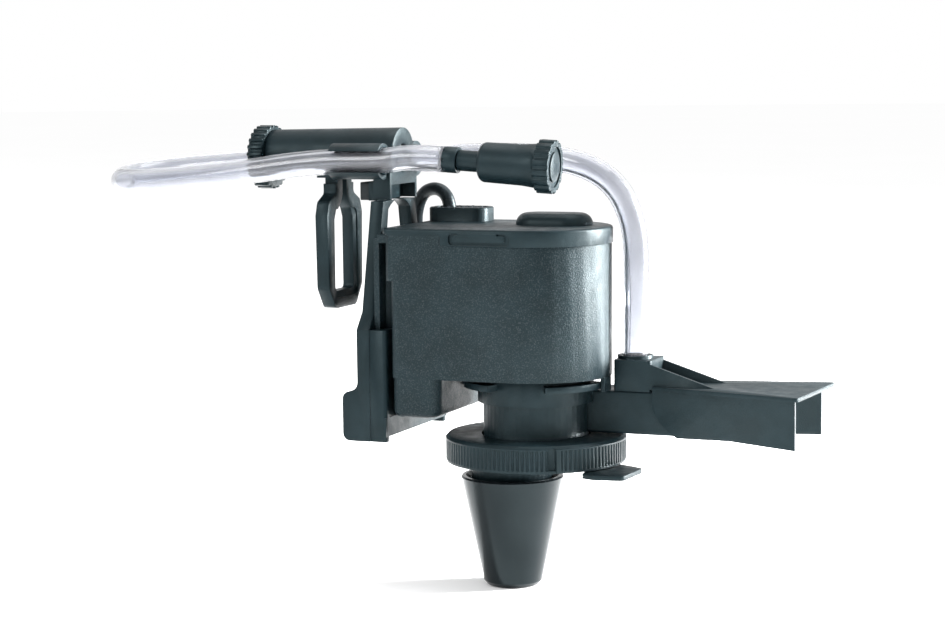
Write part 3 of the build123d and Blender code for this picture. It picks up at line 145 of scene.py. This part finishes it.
MOTTLE_SCALE = 90.0
GLOSS_SCALE = 2.7 * MOTTLE_SCALE
MOULDED_TINT = rgb(0.74, 0.95, 1.0)
GRAIN_STRENGTH = 0.8


def moulded(name, dark, light, rough, grain, depth, specular=0.20, glint_level=0.0):
    """Moulded plastic or rubber: mottled colour, uneven gloss and a fine grain, its depth in millimetres; a
    last argument above zero paints pale specks into the colour as glints.
    """
    material, tree, shader, where = new_material(name)
    cloud = noise(tree, where, MOTTLE_SCALE, 4.0)
    colour = ramp(tree, cloud, dark, light)
    if glint_level > 0.0:
        # painted glints: pale specks added to the colour stand in for light catching the spark-eroded grain
        glint_spots = noise(tree, where, grain, 1.0)
        painted_glints = tree.nodes.new("ShaderNodeMixRGB")
        painted_glints.blend_type = "ADD"
        painted_glints.inputs["Fac"].default_value = 1.0
        tree.links.new(colour, painted_glints.inputs["Color1"])
        pale = rgb(glint_level, glint_level * 1.1, glint_level * 1.15)
        tree.links.new(ramp(tree, glint_spots, grey(0.0), pale, 0.5, 0.72), painted_glints.inputs["Color2"])
        colour = painted_glints.outputs["Color"]
    tree.links.new(colour, shader.inputs["Base Color"])
    gloss = noise(tree, where, GLOSS_SCALE, 3.0)
    rough_range = ramp(tree, gloss, grey(rough[0]), grey(rough[1]))
    tree.links.new(rough_range, shader.inputs["Roughness"])
    fine = noise(tree, where, grain, 2.0)
    tree.links.new(bump(tree, fine, GRAIN_STRENGTH, depth), shader.inputs["Normal"])
    shader.inputs["Specular IOR Level"].default_value = specular
    shader.inputs["Specular Tint"].default_value = MOULDED_TINT
    return material


CHARCOAL = (rgb(0.0035, 0.0080, 0.0100), rgb(0.0060, 0.0125, 0.0155))
NEAR_BLACK = (rgb(0.003, 0.004, 0.005), rgb(0.005, 0.0065, 0.0075))
BLACK_RUBBER = (rgb(0.012, 0.012, 0.013), rgb(0.02, 0.02, 0.021))
JACKET_GREY = (rgb(0.012, 0.015, 0.017), rgb(0.018, 0.022, 0.025))
RESIN_GREY = (rgb(0.008, 0.010, 0.012), rgb(0.02, 0.024, 0.027))
OFF_WHITE = (rgb(0.6, 0.6, 0.58), rgb(0.72, 0.72, 0.7))
CREAM = (rgb(0.72, 0.7, 0.66), rgb(0.82, 0.8, 0.77))
FERRITE_GREY = (rgb(0.03, 0.03, 0.032), rgb(0.055, 0.055, 0.058))

# the grained plastic gets painted glints: pale specks added to its colour
grained = moulded("grained_plastic", *CHARCOAL, rough=(0.38, 0.50), grain=2500.0, depth=0.19, glint_level=0.018)
satin = moulded("satin_plastic", *CHARCOAL, rough=(0.34, 0.46), grain=2400.0, depth=0.07)
smooth = moulded("smooth_plastic", *CHARCOAL, rough=(0.22, 0.32), grain=5000.0, depth=0.02)
cone_rubber = moulded("cone_rubber", *NEAR_BLACK, rough=(0.12, 0.2), grain=900.0, depth=0.02, specular=0.26)
soft_rubber = moulded("soft_rubber", *BLACK_RUBBER, rough=(0.5, 0.65), grain=3000.0, depth=0.03)
cable_jacket = moulded("cable_jacket", *JACKET_GREY, rough=(0.26, 0.36), grain=1800.0, depth=0.03)
potting = moulded("potting_resin", *RESIN_GREY, rough=(0.12, 0.34), grain=650.0, depth=0.9)
white_plastic = moulded("white_plastic", *OFF_WHITE, rough=(0.35, 0.5), grain=3000.0, depth=0.03)
ceramic = moulded("ceramic", *CREAM, rough=(0.15, 0.25), grain=2000.0, depth=0.01)
ferrite = moulded("ferrite", *FERRITE_GREY, rough=(0.5, 0.7), grain=2500.0, depth=0.05)


DRAWN_STRENGTH = 0.5
DRAWN_DEPTH = 0.02
DRAWN_STRETCH = (0.08, 1.0, 1.0)


def metal(name, dark, light, rough, grain):
    """Bare metal with a drawn grain along X."""
    material, tree, shader, where = new_material(name)
    stretch = tree.nodes.new("ShaderNodeMapping")
    stretch.inputs["Scale"].default_value = DRAWN_STRETCH
    tree.links.new(where, stretch.inputs["Vector"])
    lines = noise(tree, stretch.outputs["Vector"], grain, 4.0)
    tree.links.new(ramp(tree, lines, dark, light), shader.inputs["Base Color"])
    tree.links.new(ramp(tree, lines, grey(rough[0]), grey(rough[1])), shader.inputs["Roughness"])
    tree.links.new(bump(tree, lines, DRAWN_STRENGTH, DRAWN_DEPTH), shader.inputs["Normal"])
    shader.inputs["Metallic"].default_value = 1.0
    return material


BRASS_TONES = (rgb(0.62, 0.44, 0.19), rgb(0.78, 0.58, 0.28))
STEEL_TONES = (rgb(0.42, 0.42, 0.43), rgb(0.56, 0.56, 0.57))
LAMINATED_TONES = (rgb(0.25, 0.25, 0.26), rgb(0.42, 0.42, 0.43))
COPPER_TONES = (rgb(0.5, 0.2, 0.09), rgb(0.7, 0.32, 0.15))

brass = metal("brass", *BRASS_TONES, rough=(0.22, 0.36), grain=3000.0)
steel = metal("steel", *STEEL_TONES, rough=(0.24, 0.38), grain=3000.0)
laminated = metal("laminated_steel", *LAMINATED_TONES, rough=(0.35, 0.5), grain=2500.0)
copper = metal("copper_winding", *COPPER_TONES, rough=(0.25, 0.4), grain=2500.0)


def clear_plastic(name, dark, light, rough):
    """Hazy transparent plastic, as on a soft hose."""
    material, tree, shader, where = new_material(name)
    haze = noise(tree, where, 60.0, 3.0)
    tree.links.new(ramp(tree, haze, dark, light), shader.inputs["Base Color"])
    tree.links.new(ramp(tree, haze, grey(rough[0]), grey(rough[1])), shader.inputs["Roughness"])
    shader.inputs["Transmission Weight"].default_value = 0.94
    shader.inputs["IOR"].default_value = 1.44
    return material


HOSE_TONES = (rgb(0.62, 0.635, 0.68), rgb(0.69, 0.705, 0.745))
hose_clear = clear_plastic("clear_hose", *HOSE_TONES, rough=(0.09, 0.14))

NODE_MATERIALS = {
    "hanger_frame": satin,
    "clamp_pad": soft_rubber,
    "screw_bush": satin,
    "valve_collar": satin,
    "valve_body": satin,
    "valve_seal": soft_rubber,
    "clamp_screw": satin,
    "clamp_knob": smooth,
    "screw_clip": steel,
    "clamp_jaw": satin,
    "jaw_nut": brass,
    "motor_housing": grained,
    "lid": satin,
    "cable_potting": potting,
    "motor_potting": potting,
    "stator_core": laminated,
    "coil_bobbin": white_plastic,
    "coil_winding": copper,
    "rotor_shaft": ceramic,
    "upper_bush": soft_rubber,
    "lower_bush": soft_rubber,
    "casing_seal": soft_rubber,
    "pump_casing": satin,
    "intake_plate": satin,
    "cone_adaptor": cone_rubber,
    "outlet_deflector": satin,
    "cable_tie": white_plastic,
    "mains_plug": soft_rubber,
    "plug_pin_top": brass,
    "plug_pin_bottom": brass,
    "rotor_magnet": ferrite,
    "impeller": white_plastic,
    "locking_ring": satin,
    "flow_shutter": satin,
    "valve_knob": satin,
    "valve_needle": white_plastic,
}

WELD_DISTANCE = 0.005
BEVEL_ANGLE = 35.0


def soften(piece, width):
    """Rounds a moulded piece's sharp edges by a width in millimetres and smooths its shading."""
    weld = piece.modifiers.new("weld", "WELD")
    weld.merge_threshold = WELD_DISTANCE * MM
    bevel = piece.modifiers.new("bevel", "BEVEL")
    bevel.width = width * MM
    bevel.segments = 2
    bevel.limit_method = "ANGLE"
    bevel.angle_limit = radians(BEVEL_ANGLE)
    bevel.harden_normals = True
    for face in piece.data.polygons:
        face.use_smooth = True


for node_name, material in NODE_MATERIALS.items():
    piece = nodes[node_name]
    piece.data.materials.clear()
    piece.data.materials.append(material)

EDGE_WIDTHS = {
    "hanger_frame": 0.3,
    "clamp_pad": 0.2,
    "clamp_knob": 0.25,
    "clamp_jaw": 0.3,
    "motor_housing": 0.4,
    "lid": 0.3,
    "pump_casing": 0.3,
    "outlet_deflector": 0.25,
    "locking_ring": 0.15,
    "flow_shutter": 0.3,
    "valve_body": 0.2,
    "valve_knob": 0.25,
    "valve_collar": 0.2,
    "intake_plate": 0.2,
    "mains_plug": 0.4,
}
for node_name, width in EDGE_WIDTHS.items():
    soften(nodes[node_name], width)


# ---- cords -------------------------------------------------------------------
def nurbs(name, points, radius, material):
    """A round cord: one open NURBS spline of order 3 that starts and ends at its end points."""
    curve = bpy.data.curves.new(name, "CURVE")
    curve.dimensions = "3D"
    spline = curve.splines.new("NURBS")
    spline.points.add(len(points) - 1)
    for target, point in zip(spline.points, points):
        target.co = (*point, 1.0)
    spline.order_u = 3
    spline.use_endpoint_u = True
    spline.resolution_u = 12
    curve.bevel_depth = radius
    curve.bevel_resolution = 6
    curve.use_fill_caps = True
    piece = bpy.data.objects.new(name, curve)
    scene.collection.objects.link(piece)
    curve.materials.append(material)
    return piece


# The coil is wound in two layers. Each turn lies in its own place, given by a radius and
# a y, and eases into the next turn's place over CHANGE degrees each side of the step.
COIL_X = PUMP_X - 28.0
COIL_Z = LID_Z - 27.0
COIL_NEAR = 29.1
COIL_PITCH = 4.28
COIL_LAYERS = (22.7, 18.4)
COIL_START = 180.0
SLOT_TURN = 315.0
SLOT_COUNT = 12
LAST_TURN_SHORT = 150.0
COIL_DEGREES = SLOT_TURN * SLOT_COUNT - LAST_TURN_SHORT
STEP = 30.0
CHANGE = 45.0
NURBS_SWELL = 1 / 0.966


def slot_place(k):
    """Radius and y of the k-th turn's place in the coil, in millimetres."""
    level = k // 2
    inner = (k % 4) in (1, 2)
    return COIL_LAYERS[1 if inner else 0], COIL_NEAR + COIL_PITCH * level


def coil_point(angle):
    """A control point of the coil, angle degrees along the winding."""
    k = int(angle // SLOT_TURN)
    along = angle - k * SLOT_TURN
    here = slot_place(min(k, SLOT_COUNT - 1))
    blend, other = 0.0, here
    if along > SLOT_TURN - CHANGE and k < SLOT_COUNT - 1:
        blend, other = (along - SLOT_TURN + CHANGE) / (2 * CHANGE), slot_place(k + 1)
    elif along < CHANGE and k > 0:
        blend, other = 1 - (along + CHANGE) / (2 * CHANGE), slot_place(k - 1)
    blend = blend * blend * (3 - 2 * blend)
    radius = (here[0] + (other[0] - here[0]) * blend) * NURBS_SWELL
    y = here[1] + (other[1] - here[1]) * blend
    turn = radians(COIL_START + angle)
    return mm(COIL_X + radius * cos(turn), y, COIL_Z + radius * sin(turn))


cable_points = [
    mm(20.0, 16.2, -11.4),
    mm(20.0, 16.2, -6.6),
    mm(15.0, 18.2, -3.0),
    mm(8.4, 20.8, -4.8),
    mm(4.8, 23.2, -12.4),
    mm(3.7, 27.6, -19.4),
    mm(3.9, 29.1, -28.2),
]
cable_points += [coil_point(STEP * i) for i in range(int(COIL_DEGREES / STEP) + 1)]
cable_points += [
    mm(13.0, 54.4, -58.8),
    mm(28.0, 55.2, -65.0),
    mm(44.0, 56.8, -65.8),
    mm(55.0, 58.2, -55.4),
    mm(55.2, 59.6, -40.0),
    mm(45.0, 60.6, -29.5),
    mm(35.0, 60.6, -29.5),
]
cable = nurbs("mains_lead", cable_points, CABLE_RADIUS * MM, cable_jacket)
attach(cable, "pump")
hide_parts("mains_cable", "cable_coil", "cable_tail")

HOSE_BORE_RADIUS = 2.7
HOSE_ROUTE = [
    mm(84.4, 9.18, -59.3),
    mm(84.7, 9.18, -37.4),
    mm(84.5, 9.68, -10.8),
    mm(73.0, 11.18, 4.0),
    mm(48.4, 12.38, 8.0),
    mm(14.0, 12.6, 6.4),
    mm(-12.0, 12.6, 6.4),
    mm(-40.0, 15.2, 5.2),
    mm(-78.0, 13.0, 2.4),
    mm(-88.3, 5.4, 0.8),
    mm(-88.3, -5.6, -0.6),
    mm(-80.0, -12.4, -1.0),
    mm(-46.0, -14.4, 1.6),
    mm(-13.0, -12.6, 6.4),
    mm(10.0, -12.6, 6.4),
    mm(18.64, -12.92, 7.95),
    mm(30.6, -12.4, 7.2),
]


def centreline(points):
    """Points along the NURBS spline of a route, read from the curve itself."""
    piece = nurbs("line", points, 0.0, hose_clear)
    bpy.context.view_layer.update()
    mesh = bpy.data.meshes.new_from_object(piece)
    line = [v.co.copy() for v in mesh.vertices]
    bpy.data.objects.remove(piece)
    bpy.data.meshes.remove(mesh)
    return line


TUBE_SIDES = 32


def tube_mesh(name, line, outer, inner, material):
    """A hollow tube along a line of points, with a wall and two ring ends."""
    mesh = bmesh.new()
    tangent = (line[1] - line[0]).normalized()
    side = tangent.orthogonal().normalized()
    rings = []
    for i, point in enumerate(line):
        ahead = line[min(i + 1, len(line) - 1)]
        behind = line[max(i - 1, 0)]
        tangent = (ahead - behind).normalized()
        side = (side - tangent * side.dot(tangent)).normalized()
        across = tangent.cross(side)
        for radius in (outer, inner):
            ring = []
            for j in range(TUBE_SIDES):
                turn = 2 * pi * j / TUBE_SIDES
                ring.append(mesh.verts.new(point + (side * cos(turn) + across * sin(turn)) * radius))
            rings.append(ring)
    for i in range(len(line) - 1):
        for j in range(TUBE_SIDES):
            k = (j + 1) % TUBE_SIDES
            a, b = rings[2 * i], rings[2 * i + 2]
            mesh.faces.new((a[j], a[k], b[k], b[j]))
            a, b = rings[2 * i + 1], rings[2 * i + 3]
            mesh.faces.new((a[k], a[j], b[j], b[k]))
    for outer_ring, inner_ring in ((rings[0], rings[1]), (rings[-2], rings[-1])):
        for j in range(TUBE_SIDES):
            k = (j + 1) % TUBE_SIDES
            mesh.faces.new((outer_ring[j], outer_ring[k], inner_ring[k], inner_ring[j]))
    bmesh.ops.recalc_face_normals(mesh, faces=mesh.faces)
    return mesh_piece(name, mesh, material)


hose_line = centreline(HOSE_ROUTE)
hose = tube_mesh("air_hose_tube", hose_line, HOSE_RADIUS * MM, HOSE_BORE_RADIUS * MM, hose_clear)
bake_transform(hose)
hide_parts("air_hose")

# ---- poured resin around the cable -------------------------------------------
RESIN_PLACE = (24.0, 16.2)
RESIN_HALF = (8.45, 4.45)
RESIN_TOP = 4.15
RESIN_EDGE = 3.8
RESIN_FOOT = 2.1
RESIN_CORNER = 0.55
RESIN_SHOULDER = 8
RESIN_RINGS = 14
RESIN_SPOKES = 64


def resin_point(share, spoke):
    """A point in plan, a share of the way out along a spoke of the rounded rectangle."""
    turn = 2 * pi * spoke / RESIN_SPOKES
    flat = [copysign(abs(c) ** RESIN_CORNER, c) for c in (cos(turn), sin(turn))]
    x = RESIN_PLACE[0] + RESIN_HALF[0] * share * flat[0]
    y = RESIN_PLACE[1] + RESIN_HALF[1] * share * flat[1]
    return x, y


def resin_height(x, y):
    """Height of the lumpy surface above the lid's plate, in millimetres."""
    lumps = 0.42 * sin(1.3 * x + 0.9 * y) * cos(1.9 * y - 0.4 * x) + 0.22 * sin(3.4 * x - 2.1 * y)
    return RESIN_TOP + lumps


def pour_resin(name):
    """The closed pour: rings of points from its middle out to its edge, then down to its foot."""
    mesh = bmesh.new()
    rings = []
    for ring_index in range(1, RESIN_RINGS + 1):
        share = ring_index / RESIN_RINGS
        edge = share**RESIN_SHOULDER
        ring = []
        for spoke in range(RESIN_SPOKES):
            x, y = resin_point(share, spoke)
            level = resin_height(x, y) * (1 - edge) + RESIN_EDGE * edge
            ring.append(mesh.verts.new(mm(x, y, LID_Z + level)))
        rings.append(ring)
    foot = [resin_point(1.0, spoke) for spoke in range(RESIN_SPOKES)]
    rings.append([mesh.verts.new(mm(x, y, LID_Z + RESIN_FOOT)) for x, y in foot])
    for near_ring, far_ring in zip(rings, rings[1:]):
        for j in range(RESIN_SPOKES):
            k = (j + 1) % RESIN_SPOKES
            mesh.faces.new((near_ring[j], near_ring[k], far_ring[k], far_ring[j]))
    mesh.faces.new(rings[0])
    mesh.faces.new(rings[-1])
    bmesh.ops.recalc_face_normals(mesh, faces=mesh.faces)
    return mesh_piece(name, mesh, potting)


resin = pour_resin("poured_resin")
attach(resin, "pump")
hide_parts("cable_potting")

# ---- floor and light ---------------------------------------------------------
FLOOR_Z = -126.2
FLOOR_RADIUS = 9.0  # metres


def floor_finish():
    """A matt floor, nearly white and faintly uneven."""
    material, tree, shader, where = new_material("pale_floor")
    tint = noise(tree, where, 3.0, 2.0)
    tree.links.new(ramp(tree, tint, grey(0.98), grey(0.985)), shader.inputs["Base Color"])
    shader.inputs["Roughness"].default_value = 0.9
    shader.inputs["Specular IOR Level"].default_value = 0.0
    return material


floor_mesh = bmesh.new()
bmesh.ops.create_circle(floor_mesh, cap_ends=True, radius=FLOOR_RADIUS, segments=96)
floor = mesh_piece("floor", floor_mesh, floor_finish())
floor.location = mm(40.0, 0.0, FLOOR_Z)

world = bpy.data.worlds.new("studio")
world.use_nodes = True
background = world.node_tree.nodes["Background"]
background.inputs["Color"].default_value = grey(1.0)
background.inputs["Strength"].default_value = 1.0
scene.world = world

CENTRE = mm(40.0, 0.0, -50.0)


def softbox(name, place, width, height, power):
    """A rectangular area light at a place in millimetres, aimed at the object's middle."""
    light = bpy.data.lights.new(name, "AREA")
    light.shape = "RECTANGLE"
    light.size = width * MM
    light.size_y = height * MM
    light.energy = power
    lamp = bpy.data.objects.new(name, light)
    lamp.location = mm(*place)
    lamp.rotation_mode = "QUATERNION"
    lamp.rotation_quaternion = (CENTRE - mm(*place)).to_track_quat("-Z", "Y")
    scene.collection.objects.link(lamp)


softbox("key", (-420, -820, 420), 360, 480, 4.6)
softbox("strip", (760, 430, 90), 110, 700, 75.0)
softbox("top", (40, 100, 900), 700, 700, 5.0)
scene.view_settings.view_transform = "Standard"
